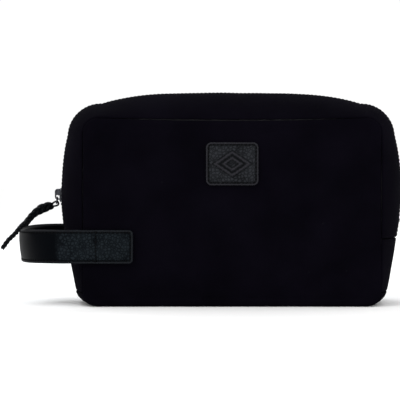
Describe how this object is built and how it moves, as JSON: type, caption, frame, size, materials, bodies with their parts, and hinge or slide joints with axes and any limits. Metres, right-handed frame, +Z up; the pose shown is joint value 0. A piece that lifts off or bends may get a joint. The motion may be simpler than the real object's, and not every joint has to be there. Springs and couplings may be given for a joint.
{
  "type": "shaving kit bag",
  "caption": "Boxy padded cloth wash bag with a zip that wraps over the top and down both ends, a leather loop handle at one end, a leather patch and a braided cord zip pull.",
  "frame": {"origin": "centre of the underside of the base", "axes": "+Z up, +X along the bag's length towards the end without the handle, -Y towards the front panel"},
  "size_m": [0.3035, 0.1072, 0.1608],
  "materials": {
    "shell_cloth": "matte black woven polyester canvas",
    "lining_cloth": "smooth dark grey nylon lining",
    "binding_tape": "ribbed black binding tape",
    "foam": "closed-cell foam sheet",
    "base_board": "semi-rigid polyethylene board",
    "zip_tape": "black woven zip tape",
    "zip_coil": "black nylon coil",
    "gunmetal": "dark gunmetal plating",
    "leather": "pebbled black leather, satin",
    "cord": "black waxed braided cord"
  },
  "bodies": {
    "bag": {"front_panel": "shell_cloth", "front_foam": "foam", "front_lining": "lining_cloth", "back_panel": "shell_cloth", "back_foam": "foam", "back_lining": "lining_cloth", "base_panel": "shell_cloth", "base_board": "base_board", "base_lining": "lining_cloth", "left_end_panel": "shell_cloth", "left_end_lining": "lining_cloth", "right_end_panel": "shell_cloth", "right_end_lining": "lining_cloth", "front_zip_strip_left": "shell_cloth", "front_zip_strip_right": "shell_cloth", "front_strip_lining_left": "lining_cloth", "front_strip_lining_right": "lining_cloth", "front_zip_tape_left": "zip_tape", "front_zip_tape_right": "zip_tape", "front_zip_coil_left": "zip_coil", "front_zip_coil_right": "zip_coil", "front_top_stop": "gunmetal", "front_seam_binding": "binding_tape", "rear_zip_strip_left": "shell_cloth", "rear_zip_strip_right": "shell_cloth", "rear_strip_lining_left": "lining_cloth", "rear_strip_lining_right": "lining_cloth", "rear_zip_tape_left": "zip_tape", "rear_zip_tape_right": "zip_tape", "rear_zip_coil_left": "zip_coil", "rear_zip_coil_right": "zip_coil", "rear_top_stop": "gunmetal", "rear_seam_binding": "binding_tape", "bottom_stop": "gunmetal", "left_zip_tab": "shell_cloth", "right_zip_tab": "shell_cloth", "slip_pocket": "lining_cloth", "pocket_binding": "binding_tape", "leather_patch": "leather", "handle_outer": "leather", "handle_inner": "leather"},
    "front_flap": {"front_zip_strip_top": "shell_cloth", "front_strip_lining_top": "lining_cloth", "front_zip_tape_top": "zip_tape", "front_zip_coil_top": "zip_coil"},
    "rear_flap": {"rear_zip_strip_top": "shell_cloth", "rear_strip_lining_top": "lining_cloth", "rear_zip_tape_top": "zip_tape", "rear_zip_coil_top": "zip_coil"},
    "slider": {"slider_body": "gunmetal", "slider_crown": "gunmetal"},
    "ring": {"pull_ring": "gunmetal"},
    "pull_cord": {"cord_loop": "cord", "cord_braid": "cord", "cord_tail": "cord"}
  },
  "joints": [
    {"name": "front_flap_fold", "type": "hinge", "parent": "bag", "child": "front_flap", "pos_m": [0, -0.05, 0.14], "axis": [1, 0, 0], "range_deg": [0, 85]},
    {"name": "rear_flap_fold", "type": "hinge", "parent": "bag", "child": "rear_flap", "pos_m": [0, 0.05, 0.14], "axis": [-1, 0, 0], "range_deg": [0, 85]},
    {"name": "slider_travel", "type": "hinge", "parent": "bag", "child": "slider", "pos_m": [0.0454, 0, 0.086], "axis": [0, 1, 0], "range_deg": [0, 12.5]},
    {"name": "ring_swing", "type": "hinge", "parent": "slider", "child": "ring", "pos_m": [-0.13382, 0, 0.08065], "axis": [0, 1, 0], "range_deg": [0, 60]},
    {"name": "cord_swing", "type": "hinge", "parent": "ring", "child": "pull_cord", "pos_m": [-0.1345, 0, 0.0759], "axis": [0, 1, 0], "range_deg": [0, 45]}
  ]
}
